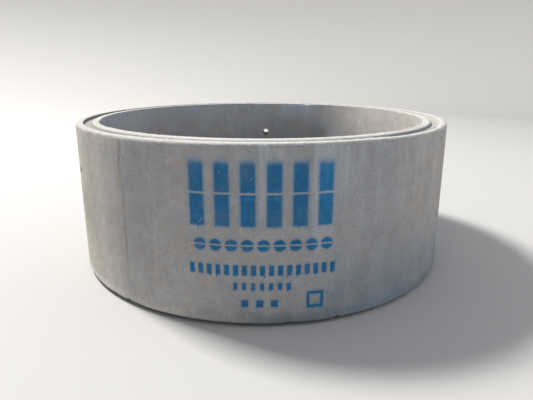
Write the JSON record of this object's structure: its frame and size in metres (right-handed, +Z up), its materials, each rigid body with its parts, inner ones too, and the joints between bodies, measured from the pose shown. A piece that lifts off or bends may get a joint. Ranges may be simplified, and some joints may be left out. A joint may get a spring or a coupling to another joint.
{
  "type": "precast concrete manhole chamber ring",
  "caption": "Precast concrete culvert or manhole ring with a grooved top edge, a tongue under the wall and lifting holes through it.",
  "frame": {"origin": "on the ring's axis, at the level of the lowest face, the face of the tongue", "axes": "+Z up along the ring's axis; -Y is the front, the side that the picture shows; +X to the viewer's right"},
  "size_m": [2.04, 2.0397, 0.768],
  "materials": {
    "concrete": "matt"
  },
  "bodies": {
    "root": {"culvert_ring": "concrete"}
  },
  "joints": []
}
